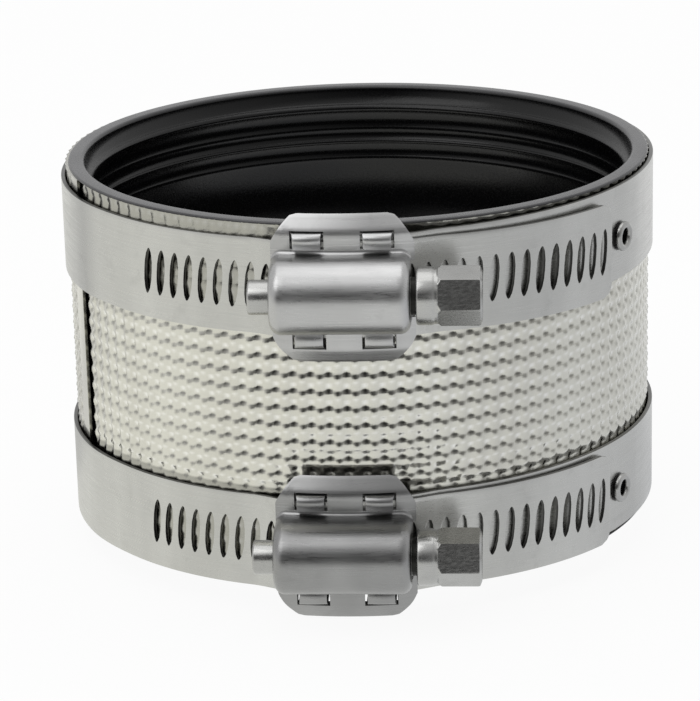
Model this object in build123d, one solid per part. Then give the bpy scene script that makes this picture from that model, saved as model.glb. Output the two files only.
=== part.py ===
from build123d import *
import math
import os

os.makedirs("parts", exist_ok=True)

# Hubless pipe coupling in millimetres. It is drawn from the sleeve's lower end, with +Z up its
# axis and the clamp housings towards -Y, and then set with the lower pipe seat, the middle of the
# lower bead's crest, at the origin. Angles run from -Y towards +X.

# Rubber sleeve
sleeve_length = 56.0
sleeve_radius = 44.75
sleeve_wall = 2.35
bead_height = 1.2
bead_inset = 2.8
bead_crest = 0.7
bead_slope = 0.5
stop_height = 3.0
stop_width = 3.2

# Rolled shield with its square pattern of pits
fit_gap = 0.05
shield_sheet = 0.12
pit_depth = 0.38
pit_columns = 108
end_setback = 0.3
row_height = 2.57
pit_rows = 10
shield_overlap_angle = 43.33
shield_edge_angle = -67.4
shield_ramp_angle = 16.0
shield_ramp_lead = 3.3

# Clamp straps
strap_width = 14.3
strap_thickness = 0.6
layer_gap = 0.07
strap_inset = 2.15
strap_start_angle = -7.0
ramp_clearance_angle = 1.0
tail_angle = 57.0
tail_corner = 2.2
ramp_angle = 8.0
edge_clearance_angle = 3.0
overlap_clearance_angle = 2.0
tail_hinge_angle = 5.0
slot_length = 7.0
slot_width = 1.3
slot_pitch_angle = 3.248
slot_count = 30
slot_margin_angle = 2.6

# Saddle below the straps, with tabs that fold over the housing
saddle_thickness = 0.7
saddle_margin = 0.42
tab_width = 4.35
tab_thickness = 0.75
tab_gap = 0.6
tab_reach = 2.6
tab_fold = 0.45
hook_root = 0.1

# Drawn housing with its screw barrel
housing_width = 20.5
housing_height = 22.0
housing_plate = 0.95
corner_across = 3.2
corner_up = 4.0
flange_fold = 2.4
flange_angle = 34.0
window_gap = 0.25
window_margin = 2.83
barrel_radius = 5.4
barrel_wall = 0.9
barrel_rise = 2.55
barrel_end_chamfer = 1.5

# Worm screw, drawn along its axis from the housing's middle
tip_radius = 2.5
tip_reach = 3.1
core_radius = 3.2
running_gap = 0.06
collar_gap = 0.9
collar_radius = 4.1
collar_length = 2.5
cone_length = 1.4
hex_across_flats = 7.4
hex_length = 5.5
hex_chamfer = 0.5
hex_corner_angle = 42.4

# Hollow rivet beyond the strap's tail
rivet_radius = 2.15
rivet_bore = 1.0
rivet_height = 0.45
rivet_angle = 61.4
rivet_drop = 0.7

# The two clamps: lowest edge of the strap, housing's angle, and how the strap runs out of true.
# Rise is the whole loop's, side and front are its slope's share at the right and at the housing,
# back_twist turns the slotted end from the loop at the back and tail_twist the tail at the housing.
clamps = {
    "upper": {"edge": sleeve_length - strap_inset - strap_width, "angle": -3.3, "housing_lift": 0.3,
              "rise": 0.75, "side": 0.75, "front": 0.0, "back_twist": 0.5, "tail_twist": 1.5},
    "lower": {"edge": 0.0, "angle": -3.9, "housing_lift": 0.45,
              "rise": 0.6, "side": 0.6, "front": 0.25, "back_twist": 0.3, "tail_twist": 0.6},
}

# Height of the lower pipe seat above the sleeve's lower end
seat_height = bead_inset + bead_slope + bead_crest / 2

# Radii of the layers, from the sleeve outwards. The shield's inside has one facet for two columns.
shield_inner = (sleeve_radius + fit_gap / 2) / math.cos(math.radians(360 / pit_columns))
facet_sag = shield_inner - sleeve_radius - fit_gap / 2
shield_crest = shield_inner + shield_sheet + pit_depth
shield_step = shield_crest - shield_inner + facet_sag + layer_gap
saddle_inner = shield_crest + fit_gap
saddle_outer = saddle_inner + saddle_thickness
saddle_step = saddle_thickness + fit_gap
layer_step = strap_thickness + layer_gap
plate_inner = saddle_inner + saddle_step + layer_step + strap_thickness + fit_gap
plate_outer = plate_inner + housing_plate
screw_axis = plate_outer + barrel_rise
tab_offset = housing_width / 2 - window_margin - window_gap - tab_width / 2
saddle_half_width = tab_offset + tab_width / 2 + saddle_margin
window_low = strap_width / 2 + tab_gap + tab_thickness + window_gap - tab_reach
window_high = strap_width / 2 + tab_gap + tab_thickness + window_gap


def ease(t):
    t = min(1.0, max(0.0, t))
    return t * t * (3 - 2 * t)


def point(radius, angle, height):
    a = math.radians(angle)
    return (radius * math.sin(a), -radius * math.cos(a), height)


def tangent_plane(radius, angle, height):
    a = math.radians(angle)
    outward = (math.sin(a), -math.cos(a), 0)
    along = (math.cos(a), math.sin(a), 0)
    return Plane(origin=point(radius, angle, height), x_dir=along, z_dir=outward)


def make_sleeve():
    inner = sleeve_radius - sleeve_wall
    crest = inner - bead_height
    top = sleeve_length / 2
    bead_top = top - bead_inset
    half = [
        (inner - stop_height, 0),
        (inner, stop_width / 2),
        (inner, bead_top - 2 * bead_slope - bead_crest),
        (crest, bead_top - bead_slope - bead_crest),
        (crest, bead_top - bead_slope),
        (inner, bead_top),
        (inner, top),
        (sleeve_radius, top),
    ]
    outline = half + [(r, -z) for r, z in reversed(half[1:])]
    profile = make_face(Plane.XZ * Polyline(*outline, close=True))
    return Pos(0, 0, top) * revolve(profile, Axis.Z, 360)


def shield_lift(angle):
    ramp_end = 360 + shield_edge_angle - shield_overlap_angle - shield_ramp_lead
    return shield_step * ease((angle - ramp_end) / shield_ramp_angle + 1)


def make_shield():
    column = 360 / pit_columns
    hidden = 2 * round(shield_overlap_angle / column / 2)
    columns = pit_columns + hidden
    first_angle = shield_edge_angle - hidden * column
    low = end_setback
    high = sleeve_length - end_setback
    rows_low = (low + high - pit_rows * row_height) / 2
    rows = [rows_low + k * row_height for k in range(pit_rows + 1)]
    angles = [first_angle + i * column for i in range(columns + 1)]
    crest = [shield_crest + shield_lift(a) for a in angles]
    inside = [shield_inner + shield_lift(a) for a in angles]
    faces = []

    def add(*corners):
        faces.append(Face(Wire.make_polygon([Vector(*c) for c in corners], close=True)))

    def at(i, k):
        embossed = hidden < i < columns - 1 and 0 < k < pit_rows and (i + k) % 2
        return point(crest[i] - (pit_depth if embossed else 0), angles[i], rows[k])

    def edge(i):
        between = [at(i, k) for k in range(pit_rows + 1)] if hidden <= i < columns else []
        return [point(crest[i], angles[i], low), *between, point(crest[i], angles[i], high)]

    for i in range(columns):
        if i < hidden or i == columns - 1:
            add(*edge(i), *reversed(edge(i + 1)))
            continue
        left, right = edge(i), edge(i + 1)
        add(left[0], left[1], right[1], right[0])
        add(left[-2], left[-1], right[-1], right[-2])
        for k in range(pit_rows):
            ring = [at(i, k), at(i + 1, k), at(i + 1, k + 1), at(i, k + 1)]
            if (i + k) % 2:
                ring = ring[1:] + ring[:1]
            add(ring[0], ring[1], ring[2])
            add(ring[2], ring[3], ring[0])
    for i in range(0, columns, 2):
        add(*[point(inside[i + n], angles[i + n], z) for n, z in ((0, low), (2, low), (2, high), (0, high))])
    for z in (low, high):
        outer_edge = [point(r, a, z) for r, a in zip(crest, angles)]
        inner_edge = [point(r, a, z) for r, a in zip(inside[::2], angles[::2])]
        add(*outer_edge, *reversed(inner_edge))
    for i in (0, columns):
        add(point(inside[i], angles[i], low), point(crest[i], angles[i], low),
            point(crest[i], angles[i], high), point(inside[i], angles[i], high))
    return Solid(Shell(faces))


def strap_ramps(clamp):
    housing = clamp["angle"]
    reach = math.degrees(saddle_half_width / saddle_outer) + ramp_clearance_angle
    overlap = 360 + shield_edge_angle - shield_overlap_angle - shield_ramp_lead - overlap_clearance_angle
    past_edge = 360 + shield_edge_angle + edge_clearance_angle
    return [
        (housing + reach, housing + reach + ramp_angle, -saddle_step),
        (overlap - shield_ramp_angle, overlap, shield_step),
        (past_edge, past_edge + shield_ramp_angle, -shield_step),
        (housing + 360 - reach - ramp_angle, housing + 360 + strap_start_angle - ramp_clearance_angle,
         saddle_step + layer_step),
        (housing + 360 + reach, housing + 360 + reach + ramp_angle, -saddle_step),
    ]


def strap_radius(clamp, angle):
    radius = saddle_inner + saddle_step
    for first, last, lift in strap_ramps(clamp):
        radius += lift * ease((angle - first) / (last - first))
    return radius


def strap_hinges(clamp):
    back = 360 + shield_edge_angle - (shield_overlap_angle + shield_ramp_lead) / 2
    return [back, clamp["angle"] + 360 + tail_hinge_angle]


def strap_slope(clamp, angle):
    side, front = clamp["side"], clamp["front"]
    for hinge, twist in zip(strap_hinges(clamp), (clamp["back_twist"], clamp["tail_twist"])):
        if angle > hinge:
            side -= twist * math.cos(math.radians(hinge))
            front += twist * math.sin(math.radians(hinge))
    return side, front


def strap_middle(clamp, angle):
    side, front = strap_slope(clamp, angle)
    a = math.radians(angle)
    return clamp["edge"] + strap_width / 2 + clamp["rise"] + side * math.sin(a) + front * math.cos(a)


def arc(radius, first, last):
    return ThreePointArc(*[point(radius, a, 0) for a in (first, (first + last) / 2, last)])


def strap_curve(clamp, first, last, outward):
    radius = strap_radius(clamp, first) + outward
    curve = []
    angle = first
    for start, end, lift in strap_ramps(clamp):
        if not first < start < last:
            continue
        curve.append(arc(radius, angle, start))
        middle = point(radius + lift / 2, (start + end) / 2, 0)
        rise = TangentArc(curve[-1] @ 1, middle, tangent=curve[-1] % 1)
        curve += [rise, TangentArc(middle, point(radius + lift, end, 0), tangent=rise % 1)]
        radius += lift
        angle = end
    curve.append(arc(radius, angle, last))
    return curve


def strap_length(clamp, first, last):
    inner = strap_curve(clamp, first, last, 0)
    outer = strap_curve(clamp, first, last, strap_thickness)
    ends = [Line(inner[0] @ 0, outer[0] @ 0), Line(inner[-1] @ 1, outer[-1] @ 1)]
    ring = extrude(make_face(inner + outer + ends), sleeve_length, both=True)
    side, front = strap_slope(clamp, (first + last) / 2)
    lean = (-side / saddle_inner, front / saddle_inner, 1)
    level = Plane(origin=(0, 0, clamp["edge"] + strap_width / 2 + clamp["rise"]), z_dir=lean)
    return ring & level * Box(3 * sleeve_radius, 3 * sleeve_radius, strap_width)


def make_strap(clamp):
    end = clamp["angle"] + 360 + tail_angle
    stations = [clamp["angle"] + strap_start_angle, *strap_hinges(clamp), end]
    lengths = [strap_length(clamp, first, last) for first, last in zip(stations, stations[1:])]
    strap = lengths[0] + lengths[1] + lengths[2]

    def cutter(sketch, angle):
        under = strap_radius(clamp, angle) - layer_gap / 2
        plane = tangent_plane(under, angle, strap_middle(clamp, angle))
        return extrude(plane * sketch, 2 * strap_thickness)

    slot = Rectangle(slot_width, slot_length)
    last = end - slot_margin_angle
    cutters = [cutter(slot, last - k * slot_pitch_angle) for k in range(slot_count)]
    corner = Rectangle(2 * tail_corner, 2 * tail_corner) - Circle(tail_corner)
    corner &= Pos(tail_corner, tail_corner) * Rectangle(2 * tail_corner, 2 * tail_corner)
    corner = Pos(-tail_corner, strap_width / 2 - tail_corner) * corner
    cutters += [cutter(corner, end), cutter(mirror(corner, Plane.XZ), end)]
    return strap - cutters


def make_rivet(clamp):
    angle = clamp["angle"] + rivet_angle
    seat = strap_radius(clamp, angle) + strap_thickness
    outline = [
        (rivet_bore, seat + fit_gap),
        (rivet_radius, seat + fit_gap),
        (rivet_bore, seat + rivet_height),
    ]
    profile = make_face(Plane.XY * Polyline(*outline, close=True))
    rivet = Rot(180, 0, 0) * revolve(profile, Axis.Y, 360)
    return Pos(0, 0, strap_middle(clamp, angle) - rivet_drop) * Rot(0, 0, angle) * rivet


def sector(profile_points, half_angle):
    profile = make_face(Plane.XZ * Polyline(*profile_points, close=True))
    return Rot(0, 0, -90 - half_angle) * revolve(profile, Axis.Z, 2 * half_angle)


def make_saddle():
    high = strap_width / 2 + tab_gap
    half_angle = math.degrees(saddle_half_width / saddle_inner)
    band = [(saddle_inner, -high), (saddle_outer, -high), (saddle_outer, high), (saddle_inner, high)]
    saddle = sector(band, half_angle)
    fold_inner = plate_outer + fit_gap
    fold_outer = fold_inner + tab_thickness
    out = high + tab_thickness
    for side in (1, -1):
        points = [(side * z, -r) for z, r in (
            (high - hook_root, saddle_inner), (out, saddle_inner), (out, fold_outer),
            (out - tab_reach, fold_outer), (out - tab_reach, fold_inner), (high, fold_inner),
            (high, saddle_outer), (high - hook_root, saddle_outer))]
        hook = make_face(Plane.YZ * Polyline(*[(r, z) for z, r in points], close=True))
        for x in (tab_offset, -tab_offset):
            tab = Pos(x, 0, 0) * extrude(hook, tab_width / 2, both=True)
            outer = tab.edges().filter_by(Axis.X).sort_by_distance((x, -fold_outer, side * out))[0]
            saddle += chamfer(outer, tab_fold)
    return saddle


def arch_sketch(radius, depth):
    outline = [Line((-radius, -depth), (-radius, 0)), ThreePointArc((-radius, 0), (0, radius), (radius, 0)),
               Line((radius, 0), (radius, -depth)), Line((radius, -depth), (-radius, -depth))]
    return make_face(outline)


def make_housing():
    half = housing_height / 2
    crease = half - flange_fold
    drop = flange_fold * math.tan(math.radians(flange_angle))
    turn = housing_plate * math.tan(math.radians(flange_angle) / 2)
    shell = [
        (plate_inner, -crease + turn), (plate_inner - drop, -half + turn),
        (plate_outer - drop, -half), (plate_outer, -crease),
        (plate_outer, crease), (plate_outer - drop, half),
        (plate_inner - drop, half - turn), (plate_inner, crease - turn),
    ]
    plate = sector(shell, math.degrees(housing_width / plate_outer))
    x, z = housing_width / 2, half
    cut_x, cut_z = x - corner_across, z - corner_up
    outline = Polyline((-cut_x, z), (cut_x, z), (x, cut_z), (x, -cut_z),
                       (cut_x, -z), (-cut_x, -z), (-x, -cut_z), (-x, cut_z), close=True)
    press = extrude(Plane.XZ * make_face(outline), 2 * screw_axis)
    plate = plate & press
    along = Plane(origin=(0, -screw_axis, 0), x_dir=(0, 0, 1), z_dir=(1, 0, 0))
    arch = arch_sketch(barrel_radius, barrel_rise + housing_plate / 2)
    barrel = extrude(along * arch, housing_width / 2, both=True)
    for end in (0, -1):
        face = barrel.faces().sort_by(Axis.X)[end]
        foot = face.edges().sort_by(Axis.Y)[-1]
        barrel = chamfer([e for e in face.edges() if e != foot], barrel_end_chamfer)
    hollow = arch_sketch(barrel_radius - barrel_wall, barrel_rise + 2 * housing_plate)
    housing = plate + barrel
    housing -= extrude(along * hollow, housing_width / 2 - barrel_wall, both=True)
    tip_hole = Circle(tip_radius + running_gap)
    neck_hole = Circle(core_radius + running_gap)
    housing -= extrude(along * tip_hole, -housing_width)
    housing -= extrude(along * neck_hole, housing_width)
    window = Box(tab_width + 2 * window_gap, 4 * housing_plate, window_high - window_low)
    for side in (1, -1):
        for x in (tab_offset, -tab_offset):
            middle = side * (window_low + window_high) / 2
            housing -= Pos(x, -plate_outer, middle) * window
    return housing


def make_screw():
    wall = housing_width / 2
    inside = wall - barrel_wall
    collar_start = wall + collar_gap
    collar_end = collar_start + collar_length
    hex_start = collar_end + cone_length
    hex_end = hex_start + hex_length
    hex_corner = hex_across_flats / math.sqrt(3)
    outline = [
        (-wall - tip_reach, 0), (-wall - tip_reach, tip_radius), (-inside, tip_radius),
        (-inside, core_radius), (collar_start, core_radius), (collar_start, collar_radius),
        (collar_end, collar_radius), (hex_start, hex_across_flats / 2), (hex_start, 0),
    ]
    body = revolve(make_face(Plane.XY * Polyline(*outline, close=True)), Axis.X, 360)
    along = Plane(origin=(hex_start, 0, 0), x_dir=(0, 0, 1), z_dir=(1, 0, 0))
    hexagon = RegularPolygon(hex_across_flats / 2, 6, major_radius=False, rotation=hex_corner_angle)
    head = extrude(along * hexagon, hex_length)
    cap = [(hex_start, 0), (hex_start, hex_corner), (hex_end - hex_chamfer, hex_corner),
           (hex_end, hex_across_flats / 2), (hex_end, 0)]
    head &= revolve(make_face(Plane.XY * Polyline(*cap, close=True)), Axis.X, 360)
    return Pos(0, -screw_axis, 0) * (body + head)


def place(clamp, shape):
    middle = clamp["edge"] + strap_width / 2 + clamp["housing_lift"]
    return Pos(0, 0, middle) * Rot(0, 0, clamp["angle"]) * shape


def save(name, shape):
    export_step(Pos(0, 0, -seat_height) * shape.solid(), f"parts/{name}.step")


save("sealing_sleeve", make_sleeve())
save("shield", make_shield())
saddle = make_saddle()
housing = make_housing()
screw = make_screw()
for name, clamp in clamps.items():
    save(f"{name}_band", make_strap(clamp))
    save(f"{name}_rivet", make_rivet(clamp))
    save(f"{name}_saddle", place(clamp, saddle))
    save(f"{name}_housing", place(clamp, housing))
    save(f"{name}_screw", place(clamp, screw))
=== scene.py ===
import math

import bpy
from mathutils import Matrix, Vector


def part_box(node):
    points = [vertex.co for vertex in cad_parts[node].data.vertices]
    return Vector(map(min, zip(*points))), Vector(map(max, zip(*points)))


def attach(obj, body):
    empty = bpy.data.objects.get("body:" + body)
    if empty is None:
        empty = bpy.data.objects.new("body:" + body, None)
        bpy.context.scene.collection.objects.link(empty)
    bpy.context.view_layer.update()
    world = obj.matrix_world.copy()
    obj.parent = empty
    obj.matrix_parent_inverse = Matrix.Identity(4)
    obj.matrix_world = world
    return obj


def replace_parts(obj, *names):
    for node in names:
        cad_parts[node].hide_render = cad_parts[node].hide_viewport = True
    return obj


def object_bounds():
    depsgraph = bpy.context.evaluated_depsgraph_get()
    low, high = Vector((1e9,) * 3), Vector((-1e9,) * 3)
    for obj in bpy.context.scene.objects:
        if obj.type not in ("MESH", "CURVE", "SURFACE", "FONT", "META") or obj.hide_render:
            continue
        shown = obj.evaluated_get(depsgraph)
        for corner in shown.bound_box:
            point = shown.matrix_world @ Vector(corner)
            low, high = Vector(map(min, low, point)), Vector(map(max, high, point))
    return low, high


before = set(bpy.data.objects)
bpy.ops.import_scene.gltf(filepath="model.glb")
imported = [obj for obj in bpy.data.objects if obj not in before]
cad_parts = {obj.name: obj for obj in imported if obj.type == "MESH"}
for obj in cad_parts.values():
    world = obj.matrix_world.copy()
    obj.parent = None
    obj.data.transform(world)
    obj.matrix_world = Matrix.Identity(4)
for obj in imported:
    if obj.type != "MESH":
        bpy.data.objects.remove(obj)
cad_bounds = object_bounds()

# Sizes are millimetres, turned into metres where a mesh is made. Heights run up from the sleeve's
# lower end, and angles from -Y, where the clamp housings face, towards +X.
MM = 0.001
sleeve_low, sleeve_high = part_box("sealing_sleeve")
sleeve_base = sleeve_low[2]
sleeve_length = (sleeve_high[2] - sleeve_base) / MM
sleeve_radius = sleeve_high[0] / MM
fit_gap = 0.05

# Rubber sleeve, with a lip that overhangs the shield's edge
sleeve_wall = 2.35
sleeve_waist = 44.3
lip_radius = 44.95
lip_height = 0.35
# Height of the top rim's band of grey painted sheen
painted_sheen_band = 0.5
rim_round = 0.6
bead_inset = 2.8
bead_length = 1.7
bead_height = 1.2
bead_fullness = 0.6
thin_ring_insets = (7.3, 9.5, 12.4)
thin_ring_heights = (0.12, 0.4, 0.15)
thin_ring_length = 0.9
stop_height = 3.0
stop_width = 3.2
stop_crest = 0.2
stop_round = 0.3
lathe_steps = 240
ring_steps = 8

# Embossed shield. The open rows are the heights that no strap covers.
emboss_columns = 108
emboss_row = 2.57
emboss_phase_up = 1.73
emboss_phase_round = 0.5
open_rows = (15.4, 40.6)
open_row_steps = 8
hidden_row_steps = 4
front_angle = 78.0
front_column_steps = 8
back_column_steps = 5
bump_height = 0.26
pit_depth = 0.34
bump_spread = 0.56
# The next values paint light into the shield's colour: painted dark reflection on the bumps' up-facing sides,
# strongest towards the front, painted shade on the sheet under the straps, and painted highlights on the
# bumps' down-facing sides.
shade_slope = 0.16
shade_range = 0.3
shade_most = 0.85
shade_side = 0.4
shade_angle = 8.0
strap_painted_shade = 0.42
glint_slope = 0.16
glint_range = 0.5
shield_inner = 44.4
shield_crest = 45.1
shield_step = 0.35
shield_setback = 0.3
shield_edge_angle = -70.4
shield_margin_angle = 4.6
# At the lap's edge the inner layer dips, and its colour there is darkened with painted shade for the gap
# between the layers.
lap_gap_angle = 2.3
lap_wave_angle = 0.6
lap_dip = 0.4
shield_overlap_angle = 43.33
shield_ramp_lead = 3.3
shield_ramp_angle = 16.0

# Clamp straps
strap_width = 14.3
strap_thickness = 0.6
layer_gap = 0.07
strap_inset = 2.15
strap_start_angle = -7.0
tail_angle = 55.6
tail_corner = 2.2
tail_hinge_angle = 5.0
ramp_angle = 8.0
ramp_clearance_angle = 1.0
edge_clearance_angle = 3.0
overlap_clearance_angle = 2.0
slot_length = 7.0
slot_width = 1.55
slot_lean = 5.5
slot_pitch_angle = 3.2
slot_count = 30
slot_margin_angle = 2.6
slot_zone = 4.5
slot_border = 0.2
slot_fullness = 0.6
slot_squareness = 2.6
slot_levels = (-0.95, -0.76, -0.4, 0.0, 0.4, 0.76, 0.95)
strap_half_levels = (1.5, 3.0, slot_zone, 6.4, strap_width / 2)
strap_levels = (*[-level for level in reversed(strap_half_levels)], 0.0, *strap_half_levels)
plain_step_angle = 2.0
tail_steps = 6
strap_edge_round = 0.07
tail_spring = 0.5
tail_spring_angle = 42.0

# Saddle with its four folded tabs
saddle_thickness = 0.7
saddle_half_width = 7.59
saddle_half_height = 7.75
tab_width = 4.35
tab_offset = 5.0
tab_thickness = 0.75
tab_middle = 8.125
tab_end = 6.3
tab_bend = 0.7
tab_droop = 0.3
tab_crown = 0.22
tab_taper = 0.1
tab_root = 0.3
tab_low_bend_steps = 5
tab_high_bend_steps = 6
tab_flat_steps = 4
tab_shares = (-1.0, -0.8, -0.4, 0.0, 0.4, 0.8, 1.0)
saddle_columns = 17
saddle_rows = 5
saddle_edge_round = 0.24

# Drawn housing
housing_width = 20.5
housing_height = 22.0
housing_plate = 0.95
corner_across = 3.2
corner_up = 4.0
corner_fullness = 1.22
flange_fold = 2.4
flange_angle = 34.0
fold_blend = 0.55
window_half_width = 2.43
window_low = 6.15
window_high = 8.75
barrel_radius = 5.4
barrel_rise = 2.55
barrel_foot = 0.65
barrel_end_round = 1.6
barrel_right_end = 9.75
barrel_end_steps = 8
window_margin = 0.4
window_steps = 5
middle_steps = 3
housing_edge_round = 0.16

# Worm screw along its own axis, from the housing's middle
tip_radius = 2.5
tip_reach = 3.1
core_radius = 3.2
thread_rise = 0.22
thread_pitch = 2.6
running_gap = 0.06
gap_radius = 2.7
collar_start = 10.5
collar_radius = 4.15
collar_length = 2.5
neck_radius = 3.98
thread_clearance = 0.12
cone_length = 0.6
hex_across_flats = 7.4
hex_corner = 4.4
hex_start = 13.6
hex_end = 19.85
hex_chamfer = 0.6
hex_turn = 47.6
hex_dish_radius = 2.4
hex_dish_depth = 0.2
screw_ease = 0.35
screw_ease_steps = 4
axis_radius = 0.02
thread_steps = 96
cone_steps = 8
screw_steps = 144

# Hollow rivet beyond the strap's tail
rivet_radius = 2.25
rivet_bore = 1.15
rivet_height = 1.0
rivet_undercut = 0.4
rivet_skirt = 0.35
rivet_skirt_share = 0.7
rivet_fullness = 0.8
rivet_floor = 0.04
rivet_centre = 0.05
rivet_roll_steps = 8
rivet_steps = 48
rivet_angle = 61.4
rivet_drop = 0.7

clamps = {
    "upper": {"edge": sleeve_length - strap_inset - strap_width, "angle": -3.3, "housing_lift": 0.3,
              "rise": 0.75, "side": 0.75, "front": 0.0, "back_twist": 0.5, "tail_twist": 1.5},
    "lower": {"edge": 0.0, "angle": -3.9, "housing_lift": 0.45,
              "rise": 0.6, "side": 0.6, "front": 0.25, "back_twist": 0.3, "tail_twist": 0.6},
}

saddle_inner = 45.4
saddle_outer = saddle_inner + saddle_thickness
saddle_step = saddle_thickness + fit_gap
strap_drop = saddle_inner + saddle_step - shield_crest - fit_gap
layer_step = strap_thickness + layer_gap
plate_outer = saddle_inner + saddle_step + layer_step + strap_thickness + fit_gap + housing_plate
screw_axis = plate_outer + barrel_rise


# Shapes and helpers

def smooth_step(t):
    t = min(1.0, max(0.0, t))
    return t * t * (3 - 2 * t)


def ring_point(radius, angle, height):
    a = math.radians(angle)
    return (radius * math.sin(a) * MM, -radius * math.cos(a) * MM, sleeve_base + height * MM)


def turned_point(angle, across, out, height):
    """A point drawn as if its piece faced -Y, then turned about the sleeve's axis."""
    a = math.radians(angle)
    return ((across * math.cos(a) + out * math.sin(a)) * MM,
            (across * math.sin(a) - out * math.cos(a)) * MM, sleeve_base + height * MM)


def clamp_point(clamp, across, out, up):
    """A point of a housing, saddle or screw, with its height from the clamp's middle."""
    middle = clamp["edge"] + strap_width / 2 + clamp["housing_lift"]
    return turned_point(clamp["angle"], across, out, middle + up)


def new_piece(name, points, faces, materials, body, face_materials=None):
    mesh = bpy.data.meshes.new(name)
    mesh.from_pydata(points, [], faces)
    for material in materials:
        mesh.materials.append(material)
    if face_materials:
        mesh.polygons.foreach_set("material_index", face_materials)
    mesh.shade_smooth()
    piece = bpy.data.objects.new(name, mesh)
    bpy.context.scene.collection.objects.link(piece)
    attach(piece, body)
    return piece


def thicken(piece, thickness, offset=-1.0, rim_material=0):
    wall = piece.modifiers.new("wall", "SOLIDIFY")
    wall.thickness = thickness * MM
    wall.offset = offset
    wall.use_even_offset = True
    wall.material_offset_rim = rim_material


def soften(piece, width, segments=2, angle=40.0):
    edges = piece.modifiers.new("edges", "BEVEL")
    edges.width = width * MM
    edges.segments = segments
    edges.limit_method = "ANGLE"
    edges.angle_limit = math.radians(angle)
    edges.use_clamp_overlap = True


def settle(piece, sharp_angle=40.0):
    """Apply the modifiers and keep the creases that are steeper than the angle."""
    graph = bpy.context.evaluated_depsgraph_get()
    graph.update()
    mesh = bpy.data.meshes.new_from_object(piece.evaluated_get(graph))
    piece.modifiers.clear()
    piece.data = mesh
    mesh.set_sharp_from_angle(angle=math.radians(sharp_angle))


def grid_faces(columns, rows, start=0, skip=()):
    """Quads of a grid that is stored column by column."""
    faces = []
    for i in range(columns - 1):
        for k in range(rows - 1):
            if (i, k) not in skip:
                a = start + i * rows + k
                faces.append((a, a + rows, a + rows + 1, a + 1))
    return faces


def lathe_faces(steps, count):
    faces = []
    for i in range(steps):
        a, b = i * count, (i + 1) % steps * count
        faces += [(a + k, b + k, b + k + 1, a + k + 1) for k in range(count - 1)]
    return faces


# Shader nodes and groups

def new_group(name, inputs, outputs):
    group = bpy.data.node_groups.new(name, "ShaderNodeTree")
    for label, kind, value in inputs:
        socket = group.interface.new_socket(label, in_out="INPUT", socket_type=kind)
        socket.default_value = value
    for label, kind in outputs:
        group.interface.new_socket(label, in_out="OUTPUT", socket_type=kind)
    return group, group.nodes.new("NodeGroupInput"), group.nodes.new("NodeGroupOutput")


def math_node(tree, operation, a, b=None):
    node = tree.nodes.new("ShaderNodeMath")
    node.operation = operation
    for socket, value in ((node.inputs[0], a), (node.inputs[1], b)):
        if value is None:
            continue
        if isinstance(value, bpy.types.NodeSocket):
            tree.links.new(value, socket)
        else:
            socket.default_value = value
    return node.outputs[0]


def combine_node(tree, x, y, z):
    node = tree.nodes.new("ShaderNodeCombineXYZ")
    for socket, value in zip(node.inputs, (x, y, z)):
        tree.links.new(value, socket)
    return node.outputs[0]


def noise_node(tree, vector, scale, detail=3.0, roughness=0.55):
    node = tree.nodes.new("ShaderNodeTexNoise")
    tree.links.new(vector, node.inputs["Vector"])
    if isinstance(scale, bpy.types.NodeSocket):
        tree.links.new(scale, node.inputs["Scale"])
    else:
        node.inputs["Scale"].default_value = scale
    node.inputs["Detail"].default_value = detail
    node.inputs["Roughness"].default_value = roughness
    return node.outputs["Fac"]


def turn_node(tree, split):
    """Angle of a place or direction from -Y towards +X, in radians."""
    front = math_node(tree, "MULTIPLY", split.outputs["Y"], -1.0)
    return math_node(tree, "ARCTAN2", split.outputs["X"], front)


def place_node(tree):
    """Place on the object, split into X, Y and Z."""
    split = tree.nodes.new("ShaderNodeSeparateXYZ")
    tree.links.new(tree.nodes.new("ShaderNodeTexCoord").outputs["Object"], split.inputs[0])
    return split


grain_radius = 0.046
cloud_scale = 70.0
cloud_stretch = 0.15
stain_scale = 260.0
steel_grain_depth = 0.00001
rubber_grain_depth = 0.00003


def rolled_grain_group():
    """Fine lines that run round the coupling, as rolling leaves them on strip."""
    group, inputs, outputs = new_group(
        "Rolled grain",
        [("Lines per metre", "NodeSocketFloat", 6000.0), ("Stretch", "NodeSocketFloat", 0.02)],
        [("Grain", "NodeSocketFloat"), ("Cloud", "NodeSocketFloat"), ("Stain", "NodeSocketFloat")])
    split = place_node(group)
    x, y, z = split.outputs
    turn = turn_node(group, split)
    away = math_node(group, "SQRT", math_node(group, "ADD", math_node(group, "MULTIPLY", x, x),
                                              math_node(group, "MULTIPLY", y, y)))
    along = math_node(group, "MULTIPLY", turn, grain_radius)
    stretched = math_node(group, "MULTIPLY", along, inputs.outputs["Stretch"])
    grain = noise_node(group, combine_node(group, stretched, away, z), inputs.outputs["Lines per metre"], 2.0)
    low_z = math_node(group, "MULTIPLY", z, cloud_stretch)
    cloud = noise_node(group, combine_node(group, along, away, low_z), cloud_scale, 3.0)
    stain = noise_node(group, combine_node(group, along, away, z), stain_scale, 5.0, 0.7)
    group.links.new(grain, outputs.inputs["Grain"])
    group.links.new(cloud, outputs.inputs["Cloud"])
    group.links.new(stain, outputs.inputs["Stain"])
    return group


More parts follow.
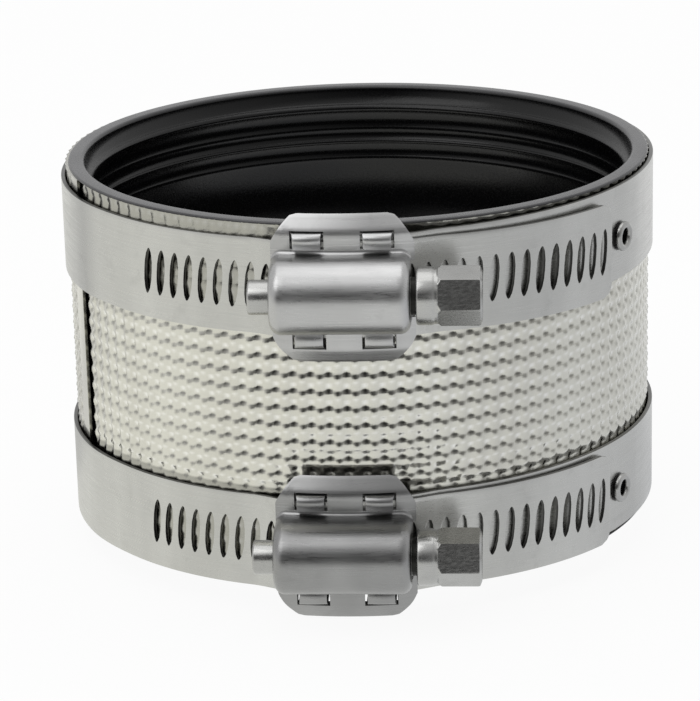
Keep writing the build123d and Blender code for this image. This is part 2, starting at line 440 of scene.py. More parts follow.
def mottle_group():
    """Soft patches and fine specks in the place of the object itself."""
    group, inputs, outputs = new_group(
        "Mottle",
        [("Patch scale", "NodeSocketFloat", 120.0), ("Speck scale", "NodeSocketFloat", 2500.0)],
        [("Patches", "NodeSocketFloat"), ("Specks", "NodeSocketFloat")])
    place = group.nodes.new("ShaderNodeTexCoord").outputs["Object"]
    patches = noise_node(group, place, inputs.outputs["Patch scale"], 4.0)
    specks = noise_node(group, place, inputs.outputs["Speck scale"], 2.0)
    group.links.new(patches, outputs.inputs["Patches"])
    group.links.new(specks, outputs.inputs["Specks"])
    return group


rolled_grain = rolled_grain_group()
mottle = mottle_group()


def add_group(tree, group, **values):
    node = tree.nodes.new("ShaderNodeGroup")
    node.node_tree = group
    for label, value in values.items():
        node.inputs[label.replace("_", " ")].default_value = value
    return node


def range_node(tree, value, low, high, start=0.3, end=0.7):
    node = tree.nodes.new("ShaderNodeMapRange")
    tree.links.new(value, node.inputs["Value"])
    for label, number in (("From Min", start), ("From Max", end), ("To Min", low), ("To Max", high)):
        node.inputs[label].default_value = number
    return node.outputs["Result"]


def mix_colours(tree, factor, first, second):
    node = tree.nodes.new("ShaderNodeMix")
    node.data_type = "RGBA"
    tree.links.new(factor, node.inputs["Factor"])
    for socket, colour in ((node.inputs["A"], first), (node.inputs["B"], second)):
        if isinstance(colour, bpy.types.NodeSocket):
            tree.links.new(colour, socket)
        else:
            socket.default_value = (*colour, 1)
    return node.outputs["Result"]


def add_bump(tree, shader, height, distance, strength):
    node = tree.nodes.new("ShaderNodeBump")
    node.inputs["Distance"].default_value = distance
    node.inputs["Strength"].default_value = strength
    tree.links.new(height, node.inputs["Height"])
    tree.links.new(node.outputs[0], shader.inputs["Normal"])


def new_material(name):
    material = bpy.data.materials.new(name)
    material.use_nodes = True
    tree = material.node_tree
    shader = tree.nodes["Principled BSDF"]
    return material, tree, shader


# Materials

# White of the painted highlights on the embossed shield
painted_highlight_white = (0.97, 0.97, 0.96)


def steel_material(name, bright, dull, smooth_at, rough_at, lines, shaded=None):
    """Bare stainless: rolled lines, cloudy tone, faint stains and a roughness that follows them.
    Where a shaded tone is given, the mesh's point values paint shade by darkening the colour towards it,
    and paint highlights by brightening it towards white."""
    material, tree, shader = new_material(name)
    grain = add_group(tree, rolled_grain, Lines_per_metre=lines)
    tone = mix_colours(tree, range_node(tree, grain.outputs["Cloud"], 0.0, 1.0), bright, dull)
    stain = range_node(tree, grain.outputs["Stain"], 0.0, 0.35, 0.55, 0.8)
    tone = mix_colours(tree, stain, tone, tuple(0.7 * value for value in dull))
    # Painted highlight and painted shade, read from the mesh's point values
    if shaded:
        for values, colour in (("glint", painted_highlight_white), ("painted_shade", shaded)):
            mark = tree.nodes.new("ShaderNodeAttribute")
            mark.attribute_name = values
            tone = mix_colours(tree, mark.outputs["Fac"], tone, colour)
    shader.inputs["Metallic"].default_value = 1.0
    tree.links.new(tone, shader.inputs["Base Color"])
    tree.links.new(range_node(tree, grain.outputs["Grain"], smooth_at, rough_at), shader.inputs["Roughness"])
    add_bump(tree, shader, grain.outputs["Grain"], steel_grain_depth, 0.3)
    return material


def rubber_material():
    """Black moulded rubber with fine specks, and a grey painted sheen on the top rim for the light that the
    flat rim reflects.
    """
    material, tree, shader = new_material("moulded rubber")
    patches = add_group(tree, mottle)
    tone = mix_colours(tree, patches.outputs["Patches"], (0.001, 0.001, 0.0012), (0.003, 0.003, 0.0035))
    height = place_node(tree).outputs["Z"]
    # Painted sheen: the top rim is painted grey for the light that it reflects.
    rim = range_node(tree, height, 0.0, 1.0, sleeve_high[2] - painted_sheen_band * MM, sleeve_high[2])
    painted_sheen = mix_colours(tree, patches.outputs["Patches"], (0.05, 0.05, 0.052), (0.11, 0.11, 0.115))
    tree.links.new(mix_colours(tree, rim, tone, painted_sheen), shader.inputs["Base Color"])
    shader.inputs["Specular IOR Level"].default_value = 0.35
    tree.links.new(range_node(tree, patches.outputs["Specks"], 0.2, 0.3), shader.inputs["Roughness"])
    add_bump(tree, shader, patches.outputs["Specks"], rubber_grain_depth, 0.4)
    return material


rubber = rubber_material()
shield_steel = steel_material(
    "embossed stainless", bright=(0.70, 0.695, 0.635), dull=(0.61, 0.60, 0.545),
    smooth_at=0.13, rough_at=0.24, lines=5000.0, shaded=(0.004, 0.004, 0.003))
strap_steel = steel_material(
    "rolled strap", bright=(0.60, 0.60, 0.58), dull=(0.48, 0.48, 0.465),
    smooth_at=0.24, rough_at=0.38, lines=7000.0)
# Darker steel for the strap's cut edges and slot walls: painted shade for the dark outlines of the slots.
edge_shade_steel = steel_material(
    "strap edge painted shade", bright=(0.24, 0.24, 0.235), dull=(0.14, 0.14, 0.135),
    smooth_at=0.3, rough_at=0.45, lines=3000.0)
# Near-black steel for the screw's bare gap beside the housing: painted shade where the collar and the
# barrel's end shadow it.
gap_shade_steel = steel_material(
    "screw gap painted shade", bright=(0.06, 0.06, 0.055), dull=(0.02, 0.02, 0.02),
    smooth_at=0.45, rough_at=0.6, lines=3000.0)
housing_steels = {
    "upper": steel_material(
        "drawn housing", bright=(0.54, 0.54, 0.54), dull=(0.44, 0.44, 0.44),
        smooth_at=0.25, rough_at=0.38, lines=5000.0),
    # The lower clamp's housing and clip take a darker copy of the same steel, which is painted shade.
    "lower": steel_material(
        "drawn housing with painted shade", bright=(0.38, 0.38, 0.38), dull=(0.27, 0.27, 0.27),
        smooth_at=0.25, rough_at=0.38, lines=5000.0),
}
screw_steel = steel_material(
    "headed screw", bright=(0.50, 0.50, 0.49), dull=(0.36, 0.36, 0.35),
    smooth_at=0.2, rough_at=0.32, lines=4000.0)


# Rubber sleeve

def sleeve_outline():
    """Half outline from the centre stop to the outside wall, heights from the sleeve's middle."""
    inner = sleeve_radius - sleeve_wall
    top = sleeve_length / 2
    crest = inner - stop_height
    points = [(crest, stop_crest), (crest + stop_round, stop_crest + stop_round), (inner, stop_width / 2)]
    rings = [(bead_inset, bead_length, bead_height)]
    rings += [(inset - thin_ring_length / 2, thin_ring_length, height)
              for inset, height in zip(thin_ring_insets, thin_ring_heights)]
    for inset, length, height in sorted(rings, reverse=True):
        for k in range(ring_steps + 1):
            t = k / ring_steps
            rise = height * math.sin(math.pi * t) ** bead_fullness
            points.append((inner - rise, top - inset - length * (1 - t)))
    for side, centre, roll in ((-1, inner + rim_round, rim_round), (1, lip_radius - lip_height, lip_height)):
        for k in range(ring_steps + 1):
            t = k / ring_steps
            a = math.pi / 2 * (t if side < 0 else 1 - t)
            points.append((centre + side * roll * math.cos(a), top - roll + roll * math.sin(a)))
    points.append((sleeve_waist, top - lip_height))
    return points


def make_sleeve():
    half = sleeve_outline()
    middle = sleeve_length / 2
    outline = [(r, middle + z) for r, z in half] + [(r, middle - z) for r, z in reversed(half)]
    outline.append(outline[0])
    points = [ring_point(r, 360 * i / lathe_steps, z) for i in range(lathe_steps) for r, z in outline]
    sleeve = new_piece("rubber_sleeve", points, lathe_faces(lathe_steps, len(outline)), [rubber],
                       "coupling")
    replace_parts(sleeve, "sealing_sleeve")


# Embossed shield

def shield_lift(angle):
    ramp_end = 360 + shield_edge_angle - shield_overlap_angle - shield_ramp_lead
    return shield_step * smooth_step((angle - ramp_end) / shield_ramp_angle + 1)


def emboss(column, row):
    """Height and upward slope of the pattern, which has a bump at each whole column and row and
    a pit half a step off both ways."""
    height = slope = 0.0
    tightness = (emboss_row / bump_spread) ** 2
    for size, shift in ((bump_height, 0.0), (-pit_depth, 0.5)):
        across = (column - shift) - round(column - shift)
        up = (row - shift) - round(row - shift)
        bell = size * math.exp(-(across * across + up * up) * tightness)
        height += bell
        slope -= 2 * up * tightness * bell / emboss_row
    return height, slope


def shield_angles():
    """Angles of the mesh's columns, from the outer edge round, closer together at the front."""
    pitch = 360 / emboss_columns
    angles = [shield_edge_angle]
    last = 360 + shield_edge_angle
    while angles[-1] < last - 0.01:
        facing = (angles[-1] + 180) % 360 - 180
        steps = front_column_steps if abs(facing) < front_angle else back_column_steps
        angles.append(min(last, angles[-1] + pitch / steps))
    return angles


def shield_heights():
    """Heights of the mesh's rows, closer together where no strap covers the shield."""
    low, high = shield_setback, sleeve_length - shield_setback
    heights = []
    for first, last, steps in ((low, open_rows[0], hidden_row_steps), (*open_rows, open_row_steps),
                               (open_rows[1], high, hidden_row_steps)):
        count = round((last - first) / emboss_row * steps)
        heights += [first + (last - first) * k / count for k in range(count)]
    return heights + [high]


def make_shield():
    """Point values paint the colour: painted dark reflection on the bumps' up-facing sides, strongest at the
    front and on top of the relief's own reflections, painted shade at the lap's edge and on the sheet under
    the straps, and painted highlights on the bumps' down-facing sides."""
    angles = shield_angles()
    heights = shield_heights()
    columns = len(angles)
    land = shield_crest - bump_height
    end = 360 + shield_edge_angle
    points, painted_shade, glint = [], [], []
    for angle in angles:
        plain = smooth_step(end - shield_margin_angle - angle)
        column = angle / 360 * emboss_columns - emboss_phase_round
        lift = shield_lift(angle)
        facing = max(0.0, math.cos(math.radians(angle - shade_angle)))
        depth = shade_side + (shade_most - shade_side) * facing ** 3
        for z in heights:
            row = (z - emboss_phase_up) / emboss_row
            height, slope = emboss(column, row)
            gap = lap_gap_angle + lap_wave_angle * math.cos(2 * math.pi * row)
            lap = 1 - smooth_step((angle - shield_edge_angle - gap) * 2 + 0.5)
            points.append(ring_point(land + height * plain * (1 - lap) + lift - lap_dip * lap, angle, z))
            # Painted shade on up-facing slopes, under the straps and at the lap, and painted highlight on
            # down-facing slopes.
            shade = min(1.0, max(0.0, (-slope - shade_slope) / shade_range))
            under_strap_shade = 0.0 if open_rows[0] < z < open_rows[1] else strap_painted_shade
            painted_shade.append(max(lap, depth * plain * shade, under_strap_shade))
            glint.append(plain * (1 - lap) * min(1.0, max(0.0, (slope - glint_slope) / glint_range)))
    rows = len(heights)
    faces = grid_faces(columns, rows)
    start = len(points)
    for angle in angles:
        points += [ring_point(shield_inner + shield_lift(angle), angle, z) for z in (heights[-1], heights[0])]
        painted_shade += [0.0, 0.0]
        glint += [0.0, 0.0]
    for i in range(columns - 1):
        a, b = start + 2 * i, start + 2 * i + 2
        top, foot = i * rows + rows - 1, i * rows
        faces += [(a, b, b + 1, a + 1), (top, top + rows, b, a), (a + 1, b + 1, foot + rows, foot)]
    for i in (0, columns - 1):
        edge = [i * rows + k for k in range(rows)]
        faces.append(tuple(edge + [start + 2 * i, start + 2 * i + 1]))
    shield = new_piece("embossed_shield", points, faces, [shield_steel], "coupling")
    for name, values in (("painted_shade", painted_shade), ("glint", glint)):
        layer = shield.data.attributes.new(name, "FLOAT", "POINT")
        layer.data.foreach_set("value", values)
    shield.data.set_sharp_from_angle(angle=math.radians(60))
    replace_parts(shield, "shield")


# Clamp straps

def strap_ramps(clamp):
    """First angle, last angle and lift of each place where the strap steps in or out: off the
    saddle, over the shield's lap and off it, over the strap's own start and off the saddle again."""
    housing = clamp["angle"]
    reach = math.degrees(saddle_half_width / saddle_outer) + ramp_clearance_angle
    overlap = 360 + shield_edge_angle - shield_overlap_angle - shield_ramp_lead - overlap_clearance_angle
    past_edge = 360 + shield_edge_angle + edge_clearance_angle
    return [
        (housing + reach, housing + reach + ramp_angle, -strap_drop),
        (overlap - shield_ramp_angle, overlap, shield_step),
        (past_edge, past_edge + shield_ramp_angle, -shield_step),
        (housing + 360 - reach - ramp_angle, housing + 360 + strap_start_angle - ramp_clearance_angle,
         strap_drop + layer_step),
        (housing + 360 + reach, housing + 360 + reach + ramp_angle, -strap_drop),
    ]


def strap_radius(clamp, angle):
    radius = saddle_inner + saddle_step
    for first, last, lift in strap_ramps(clamp):
        radius += lift * smooth_step((angle - first) / (last - first))
    spring = clamp["angle"] + 360 + tail_angle - tail_spring_angle
    return radius + tail_spring * smooth_step((angle - spring) / tail_spring_angle)


def strap_middle(clamp, angle):
    """Height of the strap's middle line, which tilts to the side and front and twists at two places."""
    side, front = clamp["side"], clamp["front"]
    back = 360 + shield_edge_angle - (shield_overlap_angle + shield_ramp_lead) / 2
    hinges = ((back, clamp["back_twist"]), (clamp["angle"] + 360 + tail_hinge_angle, clamp["tail_twist"]))
    for hinge, twist in hinges:
        if angle > hinge:
            side -= twist * math.cos(math.radians(hinge))
            front += twist * math.sin(math.radians(hinge))
    a = math.radians(angle)
    return clamp["edge"] + strap_width / 2 + clamp["rise"] + side * math.sin(a) + front * math.cos(a)


def slot_outline(grow):
    """Lens-shaped slot with a lean, as (across, up) in the order of the cell's border."""
    tall = slot_length / 2 + grow
    right = []
    for level in slot_levels:
        share = (1 - abs(level) ** slot_squareness) ** slot_fullness
        right.append(((slot_width / 2 + grow) * share, tall * level))
    ring = right + [(0.0, tall)] + [(-x, -y) for x, y in right] + [(0.0, -tall)]
    return [(x + y * math.tan(math.radians(slot_lean)), y) for x, y in ring]


def make_strap(name, clamp):
    start = clamp["angle"] + strap_start_angle
    end = clamp["angle"] + 360 + tail_angle
    last_slot = end - slot_margin_angle
    half_pitch = slot_pitch_angle / 2
    first_cell = last_slot - (slot_count - 1) * slot_pitch_angle - half_pitch
    degrees_per_mm = math.degrees(1 / (saddle_inner + saddle_step))
    edge = strap_width / 2
    points, faces, index = [], [], {}

    def half_width(angle):
        left = (end - angle) / degrees_per_mm
        if left >= tail_corner:
            return edge
        return edge - tail_corner + math.sqrt(max(0.0, tail_corner ** 2 - (tail_corner - left) ** 2))

    def vertex(angle, up):
        if abs(up) > slot_zone:
            extra = (abs(up) - slot_zone) * (half_width(angle) - slot_zone) / (edge - slot_zone)
            up = math.copysign(slot_zone + extra, up)
        key = (round(angle, 4), round(up, 4))
        if key not in index:
            index[key] = len(points)
            radius = strap_radius(clamp, angle) + strap_thickness
            points.append(ring_point(radius, angle, strap_middle(clamp, angle) + up))
        return index[key]

    def strip(angles, levels):
        for a, b in zip(angles, angles[1:]):
            for low, high in zip(levels, levels[1:]):
                faces.append((vertex(a, low), vertex(b, low), vertex(b, high), vertex(a, high)))

    plain = round((first_cell - start) / plain_step_angle)
    strip([start + (first_cell - start) * k / plain for k in range(plain + 1)], strap_levels)
    inner_levels = [level for level in strap_levels if abs(level) <= slot_zone]
    for k in range(slot_count):
        middle = last_slot - k * slot_pitch_angle
        left, right = middle - half_pitch, middle + half_pitch
        ring = [vertex(right, level) for level in inner_levels] + [vertex(middle, slot_zone)]
        ring += [vertex(left, -level) for level in inner_levels] + [vertex(middle, -slot_zone)]
        for grow in (slot_border, 0.0):
            inside = [vertex(middle + x * degrees_per_mm, y) for x, y in slot_outline(grow)]
            count = len(ring)
            faces += [(ring[n], ring[(n + 1) % count], inside[(n + 1) % count], inside[n])
                      for n in range(count)]
            ring = inside
        for levels in (strap_levels[:3], strap_levels[-3:]):
            strip([left, middle, right], levels)
    tail = end - last_slot - half_pitch
    strip([end - tail * math.cos(math.pi / 2 * n / tail_steps) for n in range(tail_steps + 1)], strap_levels)
    # The walls and edges that the wall modifier makes take the darker edge steel, which is painted shade.
    strap = new_piece(name, points, faces, [strap_steel, edge_shade_steel], "coupling")
    thicken(strap, strap_thickness, rim_material=1)
    soften(strap, strap_edge_round)
    settle(strap)
    return strap


# Rivets

def make_rivet(name, clamp):
    """Rolled ring in bare steel, with painted shade in the black rubber colour in its bore and under its
    edge.
    """
    angle = clamp["angle"] + rivet_angle
    seat = strap_radius(clamp, angle) + strap_thickness
    up = strap_middle(clamp, angle) - rivet_drop
    roll = (rivet_radius - rivet_bore) / 2
    skirt = rivet_radius - rivet_skirt
    outline = [(skirt, 0.0), (skirt, rivet_undercut * rivet_skirt_share)]
    for k in range(rivet_roll_steps + 1):
        a = math.pi * k / rivet_roll_steps
        rise = (rivet_height - rivet_undercut) * math.sin(a) ** rivet_fullness
        outline.append((rivet_bore + roll + roll * math.cos(a), rivet_undercut + rise))
    outline += [(rivet_bore, rivet_floor), (rivet_centre, rivet_floor)]
    points = []
    for i in range(rivet_steps):
        t = 2 * math.pi * i / rivet_steps
        for r, out in outline:
            points.append(turned_point(angle, r * math.cos(t), seat + out, up + r * math.sin(t)))
    runs = len(outline) - 1
    faces = lathe_faces(rivet_steps, len(outline))
    # The bore and the underside of the edge take the black rubber colour, which is painted shade.
    shade_faces = [0 if 1 < n % runs < runs - 2 else 1 for n in range(len(faces))]
    rivet = new_piece(name, points, faces, [screw_steel, rubber], "coupling", shade_faces)
    rivet.data.set_sharp_from_angle(angle=math.radians(50))
    return rivet


# Housings, as a sheet of columns across and rows up over the barrel

def flange_drop(up):
    """How far the flange lies below the plate, with a blended fold."""
    slope = math.tan(math.radians(flange_angle))
    past = abs(up) - (housing_height / 2 - flange_fold) + fold_blend
    if past <= 0:
        return 0.0
    if past < 2 * fold_blend:
        return slope * past * past / (4 * fold_blend)
    return slope * (past - fold_blend)


def end_shrink(across):
    """How much the barrel's radius is less where its ends are rounded off."""
    end = barrel_right_end if across > 0 else housing_width / 2
    t = min(1.0, (abs(across) - end + barrel_end_round) / barrel_end_round)
    return barrel_end_round * (1 - math.sqrt(max(0.0, 1 - t * t))) if t > 0 else 0.0


def outline_height(across):
    """Half height of the sheet, less at its cut corners."""
    t = (abs(across) - housing_width / 2 + corner_across) / corner_across
    low = housing_height / 2 - corner_up
    if t <= 0:
        return housing_height / 2
    return low + corner_up * max(0.0, 1 - t ** corner_fullness) ** (1 / corner_fullness)


arch_steps = 12
foot_steps = 4
plate_ups = (window_low, 6.8, 7.45, 8.1, window_high, 9.3, 9.9, 10.5, housing_height / 2)


def upper_section(across):
    """Points (up, out) of the sheet's outer side, from the barrel's crown to the flange's edge."""
    radius = barrel_radius - end_shrink(across)
    plate = math.sqrt(plate_outer ** 2 - across ** 2)
    section = []
    for k in range(arch_steps + 1):
        a = math.pi / 2 * k / arch_steps
        section.append((radius * math.sin(a), screw_axis + radius * math.cos(a)))
    section.append((radius, (screw_axis + plate + barrel_foot) / 2))
    for k in range(foot_steps + 1):
        a = math.pi / 2 * k / foot_steps
        section.append((radius + barrel_foot * (1 - math.cos(a)), plate + barrel_foot * (1 - math.sin(a))))
    foot = radius + barrel_foot
    top = outline_height(across)
    if abs(across) <= tab_offset + window_half_width + 0.01:
        stretch = [up if up <= window_high else
                   window_high + (up - window_high) * (top - window_high) / (housing_height / 2 - window_high)
                   for up in plate_ups]
    else:
        stretch = [foot + (up - barrel_radius - barrel_foot) * (top - foot)
                   / (housing_height / 2 - barrel_radius - barrel_foot) for up in plate_ups]
    section += [(up, plate - flange_drop(up)) for up in stretch]
    return section


def make_housing(name, clamp):
    """Sheet with four windows and a round hole in each end of the barrel. The barrel's right end
    stands back from the flanges' edge."""
    half = housing_width / 2
    inner, outer = tab_offset - window_half_width, tab_offset + window_half_width
    side = [inner * k / middle_steps for k in range(middle_steps + 1)]
    side += [inner + (outer - inner) * k / window_steps for k in range(1, window_steps + 1)]
    side.append(outer + window_margin)
    turns = [math.sin(math.pi / 2 * k / barrel_end_steps) for k in range(barrel_end_steps + 1)]
    ends = [[end - barrel_end_round + barrel_end_round * turn for turn in turns]
            for end in (half, barrel_right_end)]
    columns = [-x for x in reversed(side[1:] + ends[0])] + side + ends[1] + [half]
    last_barrel = len(columns) - 2
    points = []
    for across in columns:
        upper = upper_section(across)
        section = [(-up, out) for up, out in reversed(upper[1:])] + upper
        points += [clamp_point(clamp, across, out, up) for up, out in section]
    rows = len(section)
    crown = len(upper) - 1
    window_row = crown + arch_steps + foot_steps + 3
    window_rows = range(window_row, window_row + plate_ups.index(window_high))
    mirrored_rows = [2 * crown - 1 - k for k in window_rows]
    skip = {(i, k) for i in range(len(columns) - 1) for k in [*window_rows, *mirrored_rows]
            if inner < abs(columns[i] + columns[i + 1]) / 2 < outer}
    lip_rows = range(crown - arch_steps - 1 - foot_steps, crown + arch_steps + 2 + foot_steps)
    skip |= {(last_barrel, k) for k in lip_rows[:-1]}
    faces = grid_faces(len(columns), rows, skip=skip)
    bores = ((0, -1, tip_radius + running_gap), (last_barrel, 1, core_radius + running_gap))
    radius = barrel_radius - barrel_end_round
    for column, sign, bore in bores:
        upper = upper_section(columns[column])
        section = [(-up, out) for up, out in reversed(upper[1:])] + upper
        start = len(points)
        for k in lip_rows:
            up, out = section[k]
            share = min(1.0, abs(up) / radius)
            over = bore * math.sqrt(max(0.0, 1 - share * share)) if out > screw_axis else out - screw_axis
            beside = math.copysign(bore * share, up)
            points.append(clamp_point(clamp, columns[column], screw_axis + over, beside))
        for n in range(len(lip_rows) - 1):
            a = column * rows + lip_rows[n]
            quad = (a, start + n, start + n + 1, a + 1)
            faces.append(quad if sign > 0 else quad[::-1])
    skin = [housing_steels[name.split("_")[0]]]
    housing = new_piece(name, points, faces, skin, "coupling")
    thicken(housing, housing_plate)
    soften(housing, housing_edge_round, 3)
    settle(housing)
    return housing


# Saddles

def tab_path():
    """Middle of a tab's sheet from the saddle's edge, through the window, to its free end."""
    top = plate_outer + fit_gap + tab_thickness / 2
    low = saddle_inner + saddle_thickness / 2
    path = [(saddle_half_height - tab_root, low)]
    for k in range(1, tab_low_bend_steps + 1):
        a = math.pi / 2 * k / tab_low_bend_steps
        path.append((tab_middle - tab_bend * (1 - math.sin(a)), low + tab_bend * (1 - math.cos(a))))
    path.append((tab_middle, top - 2 * tab_bend))
    for k in range(tab_high_bend_steps + 1):
        a = math.pi / 2 * k / tab_high_bend_steps
        path.append((tab_middle - tab_bend * (1 - math.cos(a)), top - tab_bend * (1 - math.sin(a))))
    flat = tab_middle - tab_bend
    for k in range(1, tab_flat_steps + 1):
        share = k / tab_flat_steps
        path.append((flat - (flat - tab_end) * share, top - tab_droop * share ** 2))
    return path


def make_saddle(name, clamp):
    """Curved plate with four tabs. Each tab grows narrower and rounder where it folds over."""
    points = []
    reach = math.degrees(saddle_half_width / saddle_inner)
    middle_radius = saddle_inner + saddle_thickness / 2
    for i in range(saddle_columns):
        a = math.radians(reach * (2 * i / (saddle_columns - 1) - 1))
        for k in range(saddle_rows):
            up = saddle_half_height * (2 * k / (saddle_rows - 1) - 1)
            points.append(clamp_point(clamp, middle_radius * math.sin(a), middle_radius * math.cos(a), up))
    faces = grid_faces(saddle_columns, saddle_rows)
    path = tab_path()
    for sign in (1, -1):
        for offset in (tab_offset, -tab_offset):
            start = len(points)
            for share in tab_shares:
                for n, (up, out) in enumerate(path):
                    bent = smooth_step((n - tab_low_bend_steps) / tab_high_bend_steps)
                    across = offset + share * (1 - tab_taper * bent * bent) * tab_width / 2
                    over = out - tab_crown * bent * share * share
                    points.append(clamp_point(clamp, across, over, sign * up))
            quads = grid_faces(len(tab_shares), len(path), start)
            faces += [quad if sign < 0 else quad[::-1] for quad in quads]
    saddle = new_piece(name, points, faces, [housing_steels[name.split("_")[0]]], "coupling")
    thicken(saddle, saddle_thickness, offset=0.0)
    soften(saddle, saddle_edge_round, 3)
    settle(saddle)
    return saddle


# Screws

def hexagon(turn):
    """Radius of the head's hexagon in a direction, with its corners eased."""
    part = (turn - hex_turn + 30) % 60 - 30
    flat = hex_across_flats / 2 / math.cos(math.radians(30 - abs(part)))
    return min(flat, hex_corner)


def eased_end(along, radius):
    """Stations of a shoulder whose outer edge is rounded, from the left."""
    stations = [(along, radius - screw_ease)]
    for k in range(1, screw_ease_steps + 1):
        a = math.pi / 2 * k / screw_ease_steps
        stations.append((along + screw_ease * (1 - math.cos(a)), radius - screw_ease * (1 - math.sin(a))))
    return stations


def screw_stations():
    """Pairs of position along the axis and radius, with no radius along the thread."""
    wall = housing_width / 2
    left = housing_plate - wall + thread_clearance
    right = barrel_right_end - housing_plate - thread_clearance
    collar_end = collar_start + collar_length
    stations = [(-wall - tip_reach, axis_radius), *eased_end(-wall - tip_reach, tip_radius)]
    stations += [(left, tip_radius), (left, core_radius)]
    stations += [(left + (right - left) * k / thread_steps, None) for k in range(1, thread_steps)]
    stations += [(right, core_radius), (barrel_right_end, gap_radius), (collar_start, gap_radius)]
    stations += eased_end(collar_start, collar_radius)
    stations += [(collar_end - screw_ease, collar_radius), (collar_end, collar_radius - screw_ease / 3),
                 (collar_end + screw_ease / 2, neck_radius), (hex_start - screw_ease / 2, neck_radius)]
    for k in range(cone_steps + 1):
        share = k / cone_steps
        stations.append((hex_start + cone_length * share, neck_radius + (hex_corner - neck_radius) * share))
    stations += [(hex_end - hex_chamfer, hex_corner), (hex_end - hex_chamfer / 2, hex_corner - 0.2),
                 (hex_end, hex_across_flats / 2 - 0.2), (hex_end - 0.15, hex_dish_radius),
                 (hex_end - hex_dish_depth, axis_radius)]
    return stations


def make_screw(name, clamp):
    """Lathed screw with a shallow worm inside the barrel, and painted shade on the bare gap beside it."""
    stations = screw_stations()
    points = []
    for i in range(screw_steps):
        turn = 360 * i / screw_steps
        a = math.radians(turn)
        for along, radius in stations:
            if radius is None:
                phase = (along / thread_pitch - turn / 360) % 1
                radius = core_radius + thread_rise * max(0.0, math.sin(2 * math.pi * phase))
            elif along >= hex_start:
                radius = min(radius, hexagon(turn))
            points.append(clamp_point(clamp, along, screw_axis + radius * math.cos(a), radius * math.sin(a)))
    faces = lathe_faces(screw_steps, len(stations))
    # The gap's faces take the near-black steel, which is painted shade.
    runs = len(stations) - 1
    gap_run = stations.index((barrel_right_end, gap_radius))
    shade_faces = [1 if n % runs == gap_run else 0 for n in range(len(faces))]
    screw = new_piece(name, points, faces, [screw_steel, gap_shade_steel],
                      f"{name.split('_')[0]}_screw", shade_faces)
    screw.data.set_sharp_from_angle(angle=math.radians(24))
    return screw


# Camera, lights and floor. The camera's place is in millimetres, and the floor's and lights' sizes in
# metres. The sweep's and the room's angles are degrees from -Y towards +X, and the room's top is up
# from the level.

aim_height = 56.27
camera_distance = 495.3
camera_elevation = 17.61
camera_roll = 1.48
camera_right = -1.99
camera_up = -31.87
camera_lens = 163.6
floor_white = 0.93
floor_reach = 3.0
floor_gap = 0.0002
# Painted light: tones by angle round the sweep, which the floor glows with for mirrored rays.
sweep_tones = ((-136, (1.0, 1.0, 0.96)), (-126, (0.76, 0.76, 0.75)), (-112, (0.78, 0.78, 0.76)),
               (-104, (1.0, 1.0, 0.95)), (-40, (1.0, 1.0, 0.95)), (20, (0.88, 0.89, 0.89)),
               (60, (0.74, 0.75, 0.77)), (110, (0.76, 0.77, 0.79)), (150, (1.0, 1.0, 1.0)))
room_bright = 0.95
room_dark = 0.08
room_left = (-60, -18)
room_right = (-8, 95)
room_top = (26, 58)
light_aim = Vector((0, 0, 0.02))


def make_camera():
    elevation = math.radians(camera_elevation)
    roll = math.radians(camera_roll)
    back = Vector((0, -math.cos(elevation), math.sin(elevation)))
    right = Vector((1, 0, 0))
    up = Vector((0, math.sin(elevation), math.cos(elevation)))
    aim = Vector((0, 0, aim_height))
    place = aim + right * camera_right + up * camera_up + back * camera_distance
    across = right * math.cos(roll) - up * math.sin(roll)
    over = right * math.sin(roll) + up * math.cos(roll)
    data = bpy.data.cameras.new("camera")
    data.lens = camera_lens
    data.clip_start = 0.01
    data.clip_end = 20
    camera = bpy.data.objects.new("camera", data)
    turn = Matrix((across, over, back)).transposed()
    camera.matrix_world = Matrix.Translation(place * MM + Vector((0, 0, sleeve_base))) @ turn.to_4x4()
    bpy.context.scene.collection.objects.link(camera)
    bpy.context.scene.camera = camera


def area_light(name, place, size, power):
    data = bpy.data.lights.new(name, "AREA")
    data.shape = "RECTANGLE"
    data.size, data.size_y = size
    data.energy = power
    light = bpy.data.objects.new(name, data)
    light.location = place
    light.rotation_euler = (light_aim - Vector(place)).to_track_quat("-Z", "Y").to_euler()
    bpy.context.scene.collection.objects.link(light)


def backdrop_rays(tree):
    """Two masks: the camera's own rays, and the mirrored and refracted ones."""
    rays = tree.nodes.new("ShaderNodeLightPath")
    mirrored = math_node(tree, "MAXIMUM", rays.outputs["Is Glossy Ray"], rays.outputs["Is Transmission Ray"])
    return rays.outputs["Is Camera Ray"], mirrored


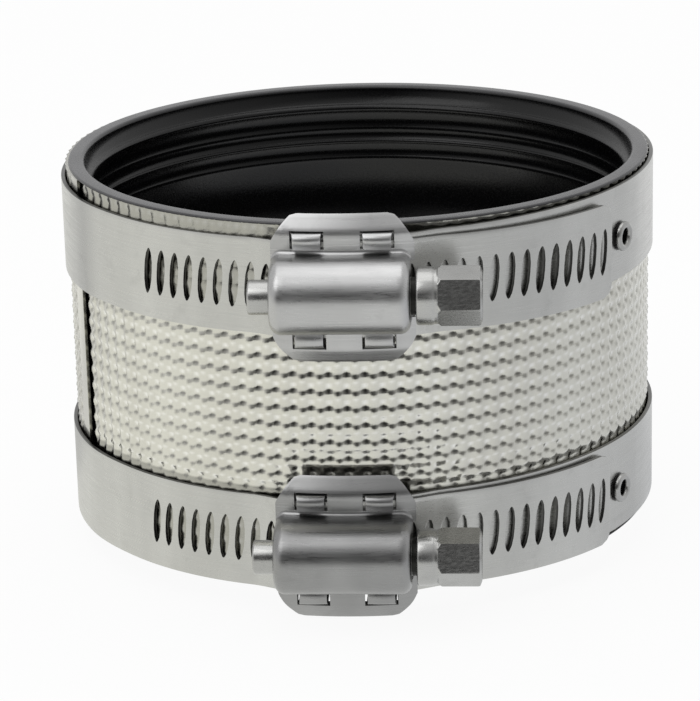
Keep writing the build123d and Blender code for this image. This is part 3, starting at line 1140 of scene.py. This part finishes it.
def make_stage():
    """White floor that keeps a faint shadow. To mirrored rays it glows in painted light tones round the
    sweep, so that metal mirrors a warmer white at the left and a cooler, dimmer one at the right, with one
    dim panel at the left."""
    material, tree, shader = new_material("pale floor")
    shader.inputs["Base Color"].default_value = (0.9, 0.9, 0.9, 1)
    shader.inputs["Roughness"].default_value = 0.9
    output = tree.nodes["Material Output"]
    straight, mirrored = backdrop_rays(tree)
    turn = turn_node(tree, place_node(tree))
    ramp = tree.nodes.new("ShaderNodeValToRGB")
    tree.links.new(range_node(tree, turn, 0.0, 1.0, -math.pi, math.pi), ramp.inputs["Fac"])
    stops = ramp.color_ramp.elements
    while len(stops) < len(sweep_tones):
        stops.new(0.5)
    for stop, (angle, colour) in zip(stops, sweep_tones):
        stop.position = angle / 360 + 0.5
        stop.color = (*colour, 1)
    white = tree.nodes.new("ShaderNodeEmission")
    tree.links.new(mix_colours(tree, mirrored, (1, 1, 1), ramp.outputs["Color"]), white.inputs["Color"])
    mix = tree.nodes.new("ShaderNodeMixShader")
    share = math_node(tree, "MULTIPLY", math_node(tree, "MAXIMUM", straight, mirrored), floor_white)
    tree.links.new(share, mix.inputs[0])
    tree.links.new(shader.outputs[0], mix.inputs[1])
    tree.links.new(white.outputs[0], mix.inputs[2])
    tree.links.new(mix.outputs[0], output.inputs["Surface"])
    low = cad_bounds[0][2] - floor_gap
    corners = [(x * floor_reach, y * floor_reach, low) for x, y in ((-1, -1), (1, -1), (1, 1), (-1, 1))]
    mesh = bpy.data.meshes.new("floor")
    mesh.from_pydata(corners, [], [(0, 1, 2, 3)])
    mesh.materials.append(material)
    floor = bpy.data.objects.new("floor", mesh)
    bpy.context.scene.collection.objects.link(floor)


def make_world():
    """White all round, except that the low front of the room is unlit, as metal mirrors it."""
    world = bpy.data.worlds.new("studio")
    bpy.context.scene.world = world
    world.use_nodes = True
    tree = world.node_tree
    tree.nodes.clear()
    output = tree.nodes.new("ShaderNodeOutputWorld")
    rays = tree.nodes.new("ShaderNodeLightPath")
    direction = tree.nodes.new("ShaderNodeTexCoord").outputs["Generated"]
    split = tree.nodes.new("ShaderNodeSeparateXYZ")
    tree.links.new(direction, split.inputs[0])
    turn = turn_node(tree, split)
    left = range_node(tree, turn, 1.0, 0.0, *[math.radians(angle) for angle in room_left])
    right = range_node(tree, turn, 0.0, 1.0, *[math.radians(angle) for angle in room_right])
    levels = [math.sin(math.radians(angle)) for angle in room_top]
    top = range_node(tree, split.outputs["Z"], 0.0, 1.0, *levels)
    lit = math_node(tree, "MAXIMUM", math_node(tree, "MAXIMUM", left, right), top)
    tone = range_node(tree, lit, room_dark, room_bright, 0.0, 1.0)
    room = tree.nodes.new("ShaderNodeBackground")
    tree.links.new(tone, room.inputs["Strength"])
    white = tree.nodes.new("ShaderNodeBackground")
    mix = tree.nodes.new("ShaderNodeMixShader")
    tree.links.new(rays.outputs["Is Camera Ray"], mix.inputs[0])
    tree.links.new(room.outputs[0], mix.inputs[1])
    tree.links.new(white.outputs[0], mix.inputs[2])
    tree.links.new(mix.outputs[0], output.inputs["Surface"])


make_sleeve()
make_shield()
for clamp_name, clamp in clamps.items():
    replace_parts(make_strap(f"{clamp_name}_strap", clamp), f"{clamp_name}_band")
    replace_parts(make_rivet(f"{clamp_name}_eyelet", clamp), f"{clamp_name}_rivet")
    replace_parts(make_saddle(f"{clamp_name}_clip", clamp), f"{clamp_name}_saddle")
    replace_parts(make_housing(f"{clamp_name}_cover", clamp), f"{clamp_name}_housing")
    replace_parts(make_screw(f"{clamp_name}_worm", clamp), f"{clamp_name}_screw")
make_camera()
make_stage()
make_world()
area_light("key", (-0.5, -0.5, 0.9), (0.7, 0.7), 2.0)
area_light("top", (0.0, 0.15, 1.2), (1.0, 1.0), 2.5)
bpy.context.scene.view_settings.view_transform = "Standard"
